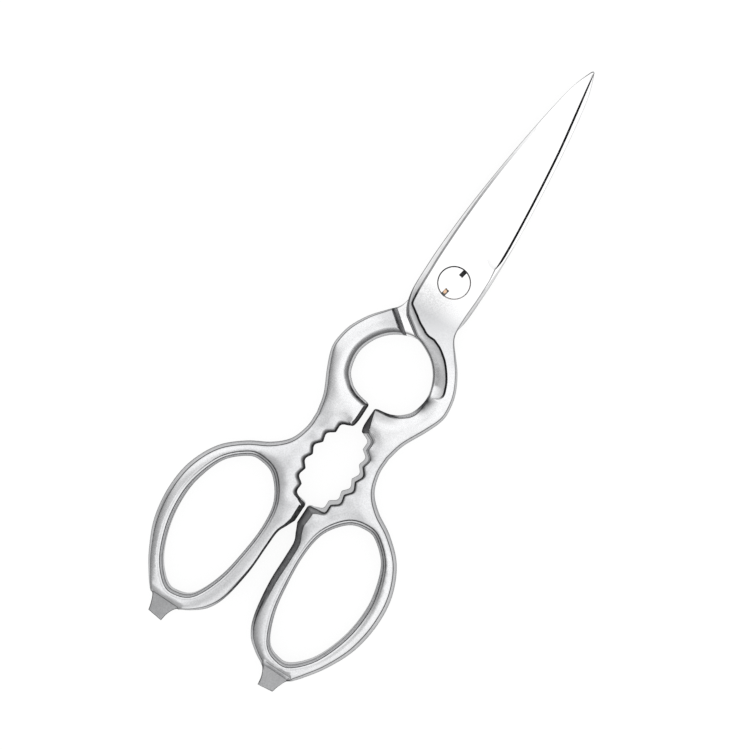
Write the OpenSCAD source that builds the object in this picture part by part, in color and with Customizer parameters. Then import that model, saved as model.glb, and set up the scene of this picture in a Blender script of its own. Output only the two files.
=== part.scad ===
// Take-apart kitchen shears: two forged halves and a notched pivot stud.
// Both halves are one forging, the rear one turned over about the long axis.
// Each half is drawn with the pivot at the origin, the tip towards +Y and the
// riding plane of the blades at z = 0. place() then moves the closed shears so
// that the origin is under the middle of their box.

/* [Blade] */
// Pivot centre to the blade tip
blade_len = 74.2; // [62:0.5:88]
// Thickness of the blade at the pivot
blade_t = 3.2; // [2.8:0.1:3.6]
// Thickness of the blade at its tip
tip_t = 2; // [1.6:0.1:2.6]
// Pivot centre to the spine
spine_x = 9.4; // [8.8:0.1:11]
// Pivot centre to the cutting edge
edge_x = 8.4; // [7.6:0.1:9.2]
// Width of the rounded tip
tip_w = 1.1; // [0.8:0.1:1.6]
// Thickness left behind the cutting edge
edge_t = 1.1; // [0.8:0.1:1.4]
// Width of the steep bevel on the cutting edge
bevel_w = 0.6; // [0.4:0.1:0.9]
// Width of the ground face behind the bevel
grind_w = 4; // [3:0.1:5]
// Pivot centre to the end of the ground face
grind_y = 10; // [8:0.5:14]
// Running gap between the two blades
ride_gap = 0.08; // [0.04:0.01:0.12]

/* [Heel] */
// Pivot centre to the heel corner, along the blade
heel_y = 15.4; // [14:0.1:16.5]
// Pivot centre to the heel corner, across the blade
heel_x = 6.4; // [5.6:0.1:7]
// Pivot centre to the foot of the lap wall
lap_r = 17.9; // [17.4:0.1:18.4]
// Direction of the lap wall from the pivot, in degrees
lap_angle = -52.3; // [-55:0.1:-50]
// Depth of the hollow slope of the lap wall
lap_slope = 1.9; // [1.2:0.1:2.4]
// Drop of the ledge that runs along the spine, heel and ring opening
ledge_drop = 0.9; // [0.6:0.1:1.2]
// Width of the ledge along the spine
ledge_w = 1.3; // [1:0.1:1.6]
// Width of the ledge across the heel
heel_ledge = 2.6; // [2.2:0.1:3]

/* [Pivot] */
// Diameter of the flush stud head
head_d = 9.2; // [8.4:0.1:10]
// Thickness of the stud head
head_t = 1.6; // [1.3:0.1:1.9]
// Diameter of the stud neck
neck_d = 5.4; // [5:0.1:6]
// Width of the two notches in the head
notch_w = 1.3; // [1.1:0.1:1.6]
// Direction of the notches with the shears closed, in degrees
notch_angle = 79; // [70:1:90]
// Opening angle at which the halves come apart, in degrees
release_angle = 105; // [95:1:110]
// Running clearance of the head and neck, on the radius
pivot_clear = 0.05; // [0.03:0.01:0.08]
// Diameter of the riveted tail of the stud
tail_d = 4; // [3.6:0.1:4.6]
// Diameter of the upset end of the tail
upset_d = 6.4; // [5.6:0.1:7]
// Depth of the countersink round the upset end
upset_t = 1.2; // [0.9:0.1:1.5]
// Seat clearance of the tail, on the radius
seat_clear = 0.02; // [0.01:0.01:0.04]

/* [Handle] */
// Thickness of the shanks and bows
handle_t = 8; // [7.2:0.1:9]
// Pivot centre to the centre of the ring opening
ring_y = 31.6; // [31:0.1:34]
// Radius of the ring opening
ring_r = 12; // [11:0.1:13]
// Width of the shank beside the ring opening
shank_w = 7.5; // [6.5:0.1:9]
// Length of the lips between the ring opening and the jaw
lip_len = 8; // [7:0.1:10]
// Gap between the lips
lip_gap = 2; // [1.6:0.1:2.6]
// Rounding of the shank edges
shank_edge = 1.2; // [0.8:0.1:1.6]

/* [Jaw] */
// Length of the jaw opening
jaw_len = 25.9; // [24:0.1:29]
// Middle of the jaw to its teeth
jaw_w = 6.8; // [6:0.1:7.4]
// Middle of the jaw to its two ends
jaw_mouth = 2.2; // [2:0.1:2.8]
// Number of scallops in each jaw
scallops = 6; // [4:1:8]
// Depth of a scallop
scallop_h = 1.3; // [0.8:0.1:1.5]
// Metal between the jaw and the waist of the handle
waist_w = 5.8; // [5:0.1:7]
// Chamfer on the teeth
tooth_edge = 0.45; // [0.3:0.05:0.6]

/* [Stops] */
// Length of the two stop faces
stop_len = 7.2; // [6:0.1:9]
// Gap between the stop faces
stop_gap = 0.8; // [0.6:0.1:1.2]
// Rounding of the stop faces
stop_edge = 1.6; // [1:0.1:2]

/* [Bows] */
// Width of a finger loop
bow_w = 24; // [22:0.5:27]
// Length of a finger loop
bow_len = 45.6; // [42:0.5:52]
// Middle of the shears to the middle of a finger loop
bow_x = 19.4; // [19:0.1:21]
// Jaw end back up to the top of a finger loop
bow_up = 2.9; // [2:0.1:3.4]
// Metal on the outer side of a finger loop
rim_outer = 5.2; // [4.6:0.1:6]
// Metal below a finger loop
rim_end = 3.8; // [3.4:0.1:5]
// Rounding of the rim
rim_edge = 2; // [1.4:0.1:2.2]

/* [Screwdriver tabs] */
// Length of a tab below its bow
tab_len = 5.9; // [5:0.1:7]
// Width of a tab at its end
tab_w = 4.8; // [4:0.1:5.4]
// Thickness of a tab at its root
tab_root_t = 2.4; // [2:0.1:3]
// Thickness of a tab at its end
tab_end_t = 1.1; // [0.9:0.1:1.4]

/* [Hidden] */
$fn = 96;
// Distances from the pivot down the handle
ring_end = ring_y + ring_r - 0.4;
jaw_top = ring_end + lip_len + 0.2;
jaw_end = jaw_top + jaw_len;
bow_top = jaw_end - bow_up;
bow_y = bow_top + bow_len / 2;
bow_end = bow_top + bow_len;
tab_root = bow_end + rim_end;
handle_len = tab_root + tab_len;
// Half sizes
half_t = handle_t / 2;
lip_x = lip_gap / 2;
stop_x = stop_gap / 2;
waist_x = jaw_w + waist_w;
ring_x = ring_r + shank_w;
bow_out = bow_x + bow_w / 2 + rim_outer;
bow_in = bow_x - bow_w / 2;
// Steps along the smooth stretches of the outline, and a length past any edge
steps = 3;
past = 0.6;
far = 60;

// ---- curves ----------------------------------------------------------------

// A point of a smooth curve between b and c, where a and d are their neighbours
function blend(a, b, c, d, t) =
    (2 * b + (c - a) * t + (2 * a - 5 * b + 4 * c - d) * t * t
    + (3 * b - a - 3 * c + d) * t * t * t) / 2;

// Smooth curve through p, without its last point
function curve(p, n) =
    let (q = [2 * p[0] - p[1], each p, 2 * p[len(p) - 1] - p[len(p) - 2]])
    [for (i = [1 : len(p) - 1])
        for (k = [0 : n - 1])
            blend(q[i - 1], q[i], q[i + 1], q[i + 2], k / n)];

// Smooth closed curve through p
function loop(p, n) =
    let (m = len(p))
    [for (i = [0 : m - 1])
        for (k = [0 : n - 1])
            blend(p[(i + m - 1) % m], p[i], p[(i + 1) % m], p[(i + 2) % m], k / n)];

function plan(p) = [for (q = p) [q.x, q.y]];

// ---- side view -------------------------------------------------------------

// Height of the top face at a distance y from the pivot: [y, z]
rise = half_t - blade_t;
top_side = [
    [-handle_len, tab_end_t / 2],
    [-tab_root, tab_root_t / 2],
    [-tab_root + 0.4, half_t - 1.5],
    [-tab_root + 1.2, half_t - 0.6],
    [-tab_root + 2.4, half_t],
    [-heel_y - 9, half_t],
    [-heel_y - 5, half_t - 0.15 * rise],
    [-heel_y - 1, blade_t + 0.15 * rise],
    [-heel_y + 3, blade_t],
    [0, blade_t],
    [blade_len, tip_t]];

function top_z(y) = lookup(y, top_side);

// Depth of the bottom face, which only thins at the tab
function bottom_z(y) = y < -bow_end ? top_z(y) : half_t;

// Side view of the ledge floor: [y, z]
ledge_side = [
    [-ring_y, half_t + 0.1],
    [-ring_y + 3, half_t - ledge_drop / 2],
    [-ring_y + 7, half_t - ledge_drop],
    [-heel_y - 4, half_t - ledge_drop - 0.5],
    [-heel_y + 2, blade_t - ledge_drop],
    [0, blade_t - ledge_drop],
    [blade_len, tip_t - ledge_drop]];

// ---- outline of the front half, seen from above ----------------------------
// A point is [x, y, width of the top edge, width of the bottom edge].

function blade_pt(x, along, w) = [x, blade_len * along, w, 0.2];

// The inner side, from the tip down the spine, round the heel and to the ring opening
function spine() = curve([
    blade_pt(-tip_w * 0.1, 1, 0.1),
    blade_pt(-tip_w * 0.75, 1 - tip_w / blade_len, 0.2),
    blade_pt(-spine_x * 0.29, 0.91, 0.2),
    blade_pt(-spine_x * 0.445, 0.81, 0.3),
    blade_pt(-spine_x * 0.605, 0.675, 0.3),
    blade_pt(-spine_x * 0.735, 0.54, 0.4),
    blade_pt(-spine_x * 0.85, 0.4, 0.4),
    blade_pt(-spine_x * 0.935, 0.27, 0.4),
    blade_pt(-spine_x, 0.1, 0.4),
    [-spine_x - 0.05, 0, 0.4, 0.4],
    [-spine_x + 0.2, -heel_y / 2, 0.4, 0.4],
    [-heel_x - 1.7, -heel_y + 2.9, 0.4, 0.4],
    [-heel_x, -heel_y, 0.4, 0.4]], steps);

// A point on the ring opening, by its direction and its share of the radius
function ring_pt(angle, share, wt, wb) =
    let (y = -ring_y - 0.4 + ring_r * share * sin(angle))
    [ring_r * share * cos(angle), y, wt, wb];

function ring_edge() = concat(
    [[-heel_x, -heel_y, 0.4, 0.4]],
    curve([
        ring_pt(93, 1.06, 0.4, 0.5),
        ring_pt(78, 1.01, 0.6, 1),
        ring_pt(56, 0.975, 1.2, 2),
        ring_pt(33, 0.965, 1.4, 2),
        ring_pt(10, 0.985, 1.6, 2),
        ring_pt(-8, 1.01, 1.6, 2),
        ring_pt(-29, 1.035, 1.2, 2),
        ring_pt(-49, 1.01, 1, 1.6),
        ring_pt(-66, 0.96, 0.7, 0.9),
        ring_pt(-80, 0.93, 0.7, 0.8)], steps));

function lips() = curve([
    ring_pt(-80, 0.93, 0.7, 0.8),
    [lip_x + 0.1, -ring_end - 0.3, 0.5, 0.5],
    [lip_x, -ring_end - 1.6, 0.7, 0.9],
    [lip_x, -jaw_top + 2.6, 1.2, 1],
    [lip_x + 0.4, -jaw_top + 0.6, 1.2, 1],
    [jaw_mouth, -jaw_top, 0.8, 0.6]], steps);

// The jaw is an arc through its two ends and its middle, cut into scallops
jaw_rise = jaw_w - jaw_mouth;
jaw_r = (jaw_len * jaw_len / 4 + jaw_rise * jaw_rise) / (2 * jaw_rise);
jaw_turn = asin(jaw_len / 2 / jaw_r);

function tooth(k) =
    let (a = jaw_turn * (1 - 2 * k / scallops))
    [jaw_w - jaw_r + jaw_r * cos(a), -(jaw_top + jaw_end) / 2 + jaw_r * sin(a)];

function jaw() = [for (k = [0 : scallops - 1])
    let (a = tooth(k), b = tooth(k + 1), out = [a.y - b.y, b.x - a.x] / norm(b - a))
    for (t = [0 : 0.2 : 0.9])
        let (p = a + (b - a) * t + out * scallop_h * 4 * t * (1 - t))
        [p.x, p.y, tooth_edge, tooth_edge]];

function stops() = curve([
    [jaw_mouth, -jaw_end, 0.3, 0.3],
    [stop_x + 0.6, -jaw_end - 0.2, 0.4, 0.4],
    [stop_x, -jaw_end - 0.9, 0.5, 0.5],
    [stop_x, -jaw_end - 2.2, stop_edge, 1.1],
    [stop_x, -jaw_end - stop_len + 1, stop_edge, 1.1]], steps);

function bow_inside() = curve([
    [stop_x, -jaw_end - stop_len + 1, stop_edge, 1.1],
    [stop_x + 1.2, -jaw_end - stop_len - 1.6, stop_edge, 1.2],
    [bow_in - 4.6, -bow_y + 8.2, stop_edge, 1.3],
    [bow_in - 4.35, -bow_y + 3, stop_edge, 1.4],
    [bow_in - 4.1, -bow_y - 6, stop_edge, 1.5],
    [bow_in - 2.5, -bow_y - 16, rim_edge, 1.7],
    [bow_in, -bow_end + 1.3, rim_edge, rim_edge],
    [bow_in + 3.6, -bow_end - 1.8, 1.6, 1.6],
    [bow_x - 5.4, -tab_root + 0.3, 0.8, 0.8]], steps);

// A flat blade end, thinner than the bow and a little askew at its end
function tab_inside() = curve([
    [bow_x - 5.4, -tab_root + 0.3, 0.8, 0.8],
    [bow_x - 3.8, -tab_root - 1.2, 0.2, 0.2],
    [bow_x - tab_w / 2 - 0.4, -handle_len + 2.4, 0.2, 0.2],
    [bow_x - tab_w / 2, -handle_len, 0.2, 0.2]], steps);

function tab_outside() = curve([
    [bow_x + tab_w / 2, -handle_len + 0.6, 0.2, 0.2],
    [bow_x + tab_w / 2 + 0.5, -handle_len + 2.6, 0.2, 0.2],
    [bow_x + 3.9, -tab_root - 0.8, 0.2, 0.2],
    [bow_x + 5.6, -tab_root + 0.9, 0.8, 0.8]], steps);

function bow_outside() = curve([
    [bow_x + 5.6, -tab_root + 0.9, 0.8, 0.8],
    [bow_x + 7.8, -bow_end - 0.3, 1.6, 1.6],
    [bow_out - 5.3, -bow_end + 5.8, rim_edge, rim_edge],
    [bow_out - 1.5, -bow_y - 8.5, rim_edge, rim_edge],
    [bow_out, -bow_y + 1.3, rim_edge, rim_edge],
    [bow_out - 1, -bow_y + 10.7, rim_edge, rim_edge],
    [bow_out - 5, -bow_top - 3.5, rim_edge, rim_edge],
    [bow_out - 11.3, -bow_top + 2.4, rim_edge, rim_edge],
    [bow_x - 0.5, -bow_top + 6.2, 1.6, 1.6],
    [waist_x + 2, -bow_top + 10.4, shank_edge, shank_edge],
    [waist_x + 0.1, -bow_top + 15.9, shank_edge, shank_edge],
    [waist_x, -jaw_top - 2.1, shank_edge, shank_edge]], steps);

function ring_outside() = curve([
    [waist_x, -jaw_top - 2.1, shank_edge, shank_edge],
    [waist_x + 1.4, -jaw_top + 3.6, shank_edge, shank_edge],
    [ring_x - 2.2, -ring_y - 9.4, shank_edge, shank_edge],
    [ring_x - 0.2, -ring_y - 4.2, shank_edge, shank_edge],
    [ring_x, -ring_y - 0.4, shank_edge, shank_edge],
    [ring_x - 1.1, -ring_y + 4.6, shank_edge, shank_edge],
    [ring_x - 3.9, -ring_y + 9.9, shank_edge, shank_edge],
    [ring_x - 7.2, -ring_y + 14, shank_edge, 1],
    [edge_x + 1.6, -heel_y + 0.5, 0.8, 0.8],
    [edge_x + 0.5, -heel_y + 2.5, 0.4, 0.4],
    [edge_x + 0.1, -heel_y + 4.9, 0.2, 0.2],
    [edge_x - 0.05, -heel_y + 9.4, 0.2, 0.2],
    [edge_x + 0.1, 0, 0.2, 0.2],
    [edge_x, grind_y - 4, 0.2, 0.2]], steps);

function cutting_edge() = curve([
    [edge_x, grind_y - 4, 0.2, 0.2],
    [edge_x - 0.35, grind_y - 0.8, 0.2, 0.2],
    [edge_x - 0.45, grind_y, 0.2, 0.2],
    [edge_x - 0.2, grind_y + 1.3, 0.2, 0.2],
    blade_pt(edge_x, 0.19, 0.2),
    blade_pt(edge_x * 0.955, 0.27, 0.2),
    blade_pt(edge_x * 0.85, 0.4, 0.2),
    blade_pt(edge_x * 0.715, 0.54, 0.2),
    blade_pt(edge_x * 0.56, 0.675, 0.2),
    blade_pt(edge_x * 0.36, 0.81, 0.2),
    blade_pt(edge_x * 0.14, 0.945, 0.2),
    blade_pt(tip_w * 0.35, 1 - 0.3 * tip_w / blade_len, 0.1)], steps);

inner_side = concat(spine(), ring_edge(), lips(), jaw(), stops(), bow_inside(), tab_inside(),
    [[bow_x - tab_w / 2, -handle_len, 0.2, 0.2]]);
outer_side = concat(tab_outside(), bow_outside(), ring_outside(), cutting_edge(),
    [blade_pt(tip_w * 0.35, 1 - 0.3 * tip_w / blade_len, 0.1)]);
outline = concat(inner_side, outer_side);

// The finger loop, clockwise, so that the metal is on its left as on the outline
function bow_pt(across, along, w) =
    [bow_x + bow_w / 2 * across, -bow_y + bow_len / 2 * along, w, w];

finger_loop = loop([
    bow_pt(-0.07, 1, 1.5),
    bow_pt(0.26, 0.955, 1.5),
    bow_pt(0.7, 0.73, 1.8),
    bow_pt(0.95, 0.36, rim_edge),
    bow_pt(1, 0.03, rim_edge),
    bow_pt(0.9, -0.34, rim_edge),
    bow_pt(0.62, -0.72, rim_edge),
    bow_pt(0.22, -0.96, 1.7),
    bow_pt(-0.1, -1, 1.7),
    bow_pt(-0.5, -0.9, 1.7),
    bow_pt(-0.8, -0.55, 1.7),
    bow_pt(-0.94, -0.15, 1.6),
    bow_pt(-1, 0.3, 1.5),
    bow_pt(-0.89, 0.66, 1.5),
    bow_pt(-0.5, 0.93, 1.5)], steps);

// ---- shaping ---------------------------------------------------------------

// Unit vector into the metal at point i of a closed path
function inward(p, i) =
    let (n = len(p), a = p[(i + n - 1) % n], b = p[(i + 1) % n], d = [b.x - a.x, b.y - a.y])
    [-d.y, d.x] / norm(d);

// A closed path moved into the metal by a share of its edge width. column is 2 for
// the top edge and 3 for the bottom edge.
function inset(path, column, share) = [for (i = [0 : len(path) - 1])
    let (p = path[i], n = inward(path, i), w = share * p[column])
    [p.x + n.x * w, p.y + n.y * w]];

function top_ring(path, share, drop) =
    let (q = inset(path, 2, share))
    [for (i = [0 : len(path) - 1]) [q[i].x, q[i].y, top_z(q[i].y) - drop * path[i][2]]];

function bottom_ring(path, share, drop) =
    let (q = inset(path, 3, share))
    [for (i = [0 : len(path) - 1]) [q[i].x, q[i].y, drop * path[i][3] - bottom_z(q[i].y)]];

// Triangles between rings of count points each, from the lowest ring to the highest
function wall_faces(count, rings) = [
    for (r = [0 : rings - 2])
        for (i = [0 : count - 1])
            let (j = (i + 1) % count, low = r * count, high = low + count)
            each [[low + i, high + i, high + j], [low + i, high + j, low + j]]];

// Triangles that close a ring. Its first points, turn of them, run down the inner side
// and the rest run back up, and each triangle steps down the side that is behind.
function steps_inner(s, path, turn) =
    let (last = len(path) - turn - 1)
    s.y == last || (s.x < turn - 1 && path[s.x + 1].y >= path[len(path) - 2 - s.y].y);

function cap_faces(path, turn) =
    let (n = len(path))
    [for (s = [0, 0]; s.x < turn - 1 || s.y < n - turn - 1;
            s = steps_inner(s, path, turn) ? [s.x + 1, s.y] : [s.x, s.y + 1])
        steps_inner(s, path, turn)
            ? [s.x, s.x + 1, n - 1 - s.y]
            : [s.x, n - 2 - s.y, n - 1 - s.y]];

function turned(faces, shift) = [for (f = faces) [f[2] + shift, f[1] + shift, f[0] + shift]];

function raised(faces, shift) = [for (f = faces) [f[0] + shift, f[1] + shift, f[2] + shift]];

// Share of the edge width at the middle of a rounded edge
bend = 1 - sqrt(0.5);

// The half without its openings: two facets round every edge
module slab() {
    n = len(outline);
    turn = len(inner_side);
    low = bottom_ring(outline, 1, 0);
    high = top_ring(outline, 1, 0);
    points = concat(low, bottom_ring(outline, bend, bend), bottom_ring(outline, 0, 1),
        top_ring(outline, 0, 1), top_ring(outline, bend, bend), high);
    polyhedron(points, concat(cap_faces(low, turn), wall_faces(n, 6),
        turned(cap_faces(high, turn), 5 * n)), convexity = 10);
}

// The plug that opens a finger loop and rounds its two edges
function level(path, share, drop, side) =
    let (q = inset(path, 2, share))
    [for (i = [0 : len(path) - 1]) [q[i].x, q[i].y, side * (half_t - drop * path[i][2])]];

module loop_cut() {
    n = len(finger_loop);
    flare = 2;
    lift = bend * (1 - flare) / (1 - bend);
    points = concat(
        level(finger_loop, flare, lift, -1), level(finger_loop, bend, bend, -1),
        level(finger_loop, 0, 1, -1), level(finger_loop, 0, 1, 1),
        level(finger_loop, bend, bend, 1), level(finger_loop, flare, lift, 1));
    cap = [for (i = [1 : n - 2]) [0, i, i + 1]];
    polyhedron(points, concat(turned(cap, 0), turned(wall_faces(n, 6), 0), raised(cap, 5 * n)),
        convexity = 6);
}

// The ground face behind the cutting edge, run out in a scoop at its lower end
module grind_cut() {
    run = cutting_edge();
    from = 2 * steps;
    n = len(run) - from;
    reach = [for (i = [0 : n - 1])
        min(grind_w * min(1, (i + 1) / steps), max(0.4, (blade_len - run[from + i].y) / 5))];
    points = [for (i = [0 : n - 1])
        let (p = run[from + i],
            top = top_z(p.y),
            foot = top + (edge_t - top) * min(1, (i + 0.5) / steps))
        each [[p.x - reach[i], p.y, top + 0.02], [p.x - bevel_w, p.y, foot],
            [p.x + 0.1, p.y, max(0.2, foot - 1)], [p.x + past, p.y, max(0.2, foot - 1)],
            [p.x + past, p.y, top + past], [p.x - reach[i], p.y, top + past]]];
    sides = [for (i = [0 : n - 2])
        for (k = [0 : 5])
            let (a = 6 * i, l = (k + 1) % 6)
            each [[a + k, a + l, a + 6 + l], [a + k, a + 6 + l, a + 6 + k]]];
    cap = [for (k = [1 : 4]) [0, k, k + 1]];
    polyhedron(points, concat(turned(cap, 0), sides, raised(cap, 6 * (n - 1))), convexity = 6);
}

// Crisp line of the step between the face and the ledge, from the spine to the hook
function ledge_line() = curve([
    [-spine_x * 0.86, blade_len * 0.4],
    [-spine_x + 1.25, blade_len * 0.2],
    [-spine_x + ledge_w, 0],
    [-spine_x + ledge_w + 0.4, -heel_y * 0.6]], steps);

function heel_line() = curve([
    [-heel_x - 0.9, -heel_y + 3.7],
    [-heel_x + 2.2, -heel_y + 3.9 - heel_ledge / 1.1],
    [-heel_x + 6.4, -heel_y - 1],
    [-heel_x + 8.6, -heel_y - 1.9],
    [-heel_x + 10.6, -heel_y - 2],
    [ring_r - 4.9, -ring_y + 13],
    [ring_r - 1.8, -ring_y + 10.8],
    [ring_r + 0.9, -ring_y + 7.6],
    [ring_r + 2.7, -ring_y + 4.4],
    [ring_r + 3.2, -ring_y + 2.3],
    [ring_r + 3, -ring_y + 1.4]], steps);

module ledge_cut() {
    start = ledge_line()[0];
    away = [[ring_r - 0.6, -ring_y - 1], [0, -ring_y + 4], [-spine_x - 3, -heel_y - 3],
        [-spine_x - 3, start.y]];
    intersection() {
        translate([0, 0, -1])
            linear_extrude(handle_t)
                polygon(concat(ledge_line(), heel_line(), away));
        rotate([90, 0, 90])
            linear_extrude(2 * far, center = true)
                polygon(concat(ledge_side, [[blade_len, handle_t], [-ring_y, handle_t]]));
    }
}

// Room for the other half's blade, with a hollow wall at its handle end
module lap_cut() {
    wall = [for (a = [0 : 30 : 90])
        [lap_r + lap_slope * (1 - cos(a)), -half_t * sin(a) * 1.02]];
    rotate([0, 0, lap_angle])
        rotate([90, 0, 0])
            translate([0, 0, -far])
                linear_extrude(2 * far)
                    polygon(concat([[-2 * far, ride_gap / 2], [lap_r, ride_gap / 2]], wall,
                        [[-2 * far, -half_t - 1]]));
}

module blank() {
    difference() {
        slab();
        loop_cut();
        grind_cut();
        ledge_cut();
        lap_cut();
    }
}

// One forged half, at its finished thickness
module forging() {
    resize([0, 0, handle_t])
        blank();
}

// ---- pivot -----------------------------------------------------------------

// A radial bar through the pivot axis, from one height to another
module bar(width, reach, low, high) {
    translate([-reach, -width / 2, low])
        cube([2 * reach, width, high - low]);
}

head_low = blade_t - head_t;
lug_high = head_low - 0.04;
lug_angle = notch_angle - release_angle;

// Hole for the stud, without the two lugs that catch under its head
module lug_hole() {
    bore_r = head_d / 2 + pivot_clear;
    translate([0, 0, -1])
        difference() {
            cylinder(h = blade_t + 2, r = bore_r);
            rotate([0, 0, lug_angle])
                difference() {
                    bar(notch_w - 2 * pivot_clear, head_d, 0, lug_high + 1);
                    cylinder(h = 3 * blade_t, r = neck_d / 2 + pivot_clear, center = true);
                }
        }
}

// ---- the pieces ------------------------------------------------------------

// From the pivot on the riding plane to the middle of the closed shears' base
module place() {
    translate([0, (handle_len - blade_len) / 2, half_t])
        children();
}

module front_half() {
    color("gainsboro")
        place()
            difference() {
                forging();
                lug_hole();
            }
}

module rear_half() {
    color("lightgray")
        place()
            rotate([0, 180, 0])
                difference() {
                    forging();
                    translate([0, 0, -1])
                        cylinder(h = blade_t + 2, r = tail_d / 2 + seat_clear);
                    translate([0, 0, blade_t - upset_t])
                        cylinder(h = 2 * upset_t, r1 = tail_d / 2 + seat_clear,
                            r2 = upset_d - tail_d / 2 + seat_clear);
                }
}

module pivot_stud() {
    neck_low = -ride_gap / 2;
    tail_low = -blade_t;
    color("silver")
        place()
            difference() {
                rotate_extrude()
                    polygon([[0, tail_low], [upset_d / 2, tail_low],
                        [tail_d / 2, tail_low + upset_t], [tail_d / 2, neck_low],
                        [neck_d / 2, neck_low], [neck_d / 2, head_low],
                        [head_d / 2, head_low], [head_d / 2, blade_t], [0, blade_t]]);
                rotate([0, 0, notch_angle])
                    difference() {
                        bar(notch_w, head_d, head_low - 0.5, blade_t + 1);
                        cylinder(h = 3 * blade_t, r = neck_d / 2, center = true);
                    }
            }
}

front_half();
rear_half();
pivot_stud();
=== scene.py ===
"""Take-apart kitchen shears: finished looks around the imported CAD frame."""

import math

import bmesh
import bpy
import numpy as np
from bmesh.types import BMEdge, BMFace, BMVert
from bpy.props import FloatProperty, FloatVectorProperty, PointerProperty
from mathutils import Matrix, Vector


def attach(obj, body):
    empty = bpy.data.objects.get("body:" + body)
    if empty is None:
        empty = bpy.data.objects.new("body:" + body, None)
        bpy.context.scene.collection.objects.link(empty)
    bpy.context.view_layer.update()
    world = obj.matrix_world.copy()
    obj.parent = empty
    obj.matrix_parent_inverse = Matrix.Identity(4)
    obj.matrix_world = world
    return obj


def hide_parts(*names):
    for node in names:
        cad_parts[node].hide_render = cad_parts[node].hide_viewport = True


bl_info = {
    "name": "Kitchen shears",
    "version": (1, 0, 0),
    "blender": (4, 5, 0),
    "location": "View3D > Sidebar > Shears",
    "description": "Finished forged halves, pivot stud and studio for the kitchen shears",
    "category": "Add Mesh",
}

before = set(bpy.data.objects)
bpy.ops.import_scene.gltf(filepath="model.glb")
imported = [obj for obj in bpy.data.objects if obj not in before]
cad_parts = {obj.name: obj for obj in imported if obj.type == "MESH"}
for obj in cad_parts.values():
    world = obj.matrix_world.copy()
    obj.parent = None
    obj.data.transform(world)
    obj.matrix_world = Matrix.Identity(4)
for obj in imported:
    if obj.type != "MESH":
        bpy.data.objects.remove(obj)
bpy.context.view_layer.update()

MM = 0.001

# ---- sizes of the CAD model, in millimetres, with the pivot at the origin ----

BLADE_LEN = 74.2
BLADE_T = 3.2
TIP_T = 2.0
SPINE_X = 9.4
EDGE_X = 8.4
TIP_W = 1.1
GRIND_W = 4.0
GRIND_Y = 10.0
RIDE_GAP = 0.08
HEEL_X = 6.4
HEEL_Y = 15.4
LAP_R = 17.9
LAP_ANGLE = math.radians(-52.3)
LAP_SLOPE = 1.9
HANDLE_T = 8.0
RING_Y = 31.6
RING_R = 12.0
SHANK_W = 7.5
LIP_LEN = 8.0
LIP_X = 1.0
JAW_LEN = 25.9
JAW_W = 6.8
JAW_MOUTH = 2.2
SCALLOPS = 6
SCALLOP_H = 1.3
WAIST_W = 5.8
STOP_LEN = 7.2
STOP_X = 0.4
BOW_W = 24.0
BOW_LEN = 45.6
BOW_X = 19.4
BOW_UP = 2.9
RIM_OUTER = 5.2
RIM_END = 3.8
TAB_LEN = 5.9
TAB_W = 4.8
TAB_ROOT_T = 2.4
TAB_END_T = 1.1
BORE_R = 4.65
LUG_R = 2.75
LUG_TOP = 1.56
LUG_ANGLE = math.radians(79 - 105)
LUG_HALF = math.radians(8)
GAP_LIGHT = math.radians(-60)  # side from which light gets into the gap round the stud
RIVET_R = 2.02
UPSET_R = 3.22
UPSET_T = 1.2

HALF_T = HANDLE_T / 2
OPENING_Y = RING_Y + 0.4
RING_END = RING_Y + RING_R - 0.4
JAW_TOP = RING_END + LIP_LEN + 0.2
JAW_END = JAW_TOP + JAW_LEN
BOW_TOP = JAW_END - BOW_UP
BOW_Y = BOW_TOP + BOW_LEN / 2
BOW_END = BOW_TOP + BOW_LEN
TAB_ROOT = BOW_END + RIM_END
HANDLE_LEN = TAB_ROOT + TAB_LEN
WAIST_X = JAW_W + WAIST_W
RING_X = RING_R + SHANK_W
BOW_OUT = BOW_X + BOW_W / 2 + RIM_OUTER
BOW_IN = BOW_X - BOW_W / 2
PIVOT = Vector((0.0, (HANDLE_LEN - BLADE_LEN) / 2, HALF_T))

# ---- sizes of the finish, in millimetres ----

SMOOTH = 6  # steps between two control points of a contour
TOOTH_STEPS = 10
CREASE = math.radians(32)  # edges over this angle stay crisp on the handles
BLADE_CREASE = math.radians(7)  # and over this one on the flat blade
FALL_REACH = 2.6  # how far from its edge a crowned face begins to fall
FALL_MORE = 0.6  # what each millimetre of extra crown adds to that
LEDGE_START = (-5.35, 52.5)  # where the ledge leaves the spine
LEDGE_END = (12.1, -31.6)  # where its hook meets the ring opening
LEDGE_DEEPENS = (-56, 2)  # distances below the pivot between which it gets its depth
LEDGE_HOOK = (28.4, 31.3)  # and between which the hook rises to the face
# Painted shade on the ledge's floor
LEDGE_SHADE = 0.26
# Lines of the step wall: offset, rise, and strength of their painted shade
STEP_LINES = ((0, 0, 0.5), (0.07, 0.15, 1), (0.55, 0.8, 1), (0.65, 1, 0))  # offset, rise, tone
BORE_SIDES = 96
BORE_CHAMFER = 0.3
BORE_RIM = 0.06
NET = 1.0  # squares of a face on the handle
BLADE_NET = 4.0
NET_OFFSET = 0.13  # keeps the net's lines off the contours' own points
WELD = 0.003
MITRE_WELD = 0.004
NO_LENGTH = 1e-4
TINY = 1e-12  # keeps a division from having nothing to divide by
LAP_CUTS = (0, 0.1, 0.25, 0.5, 0.75, 1.0)  # shares of the lap's slope

# ---- stage ----

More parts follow.
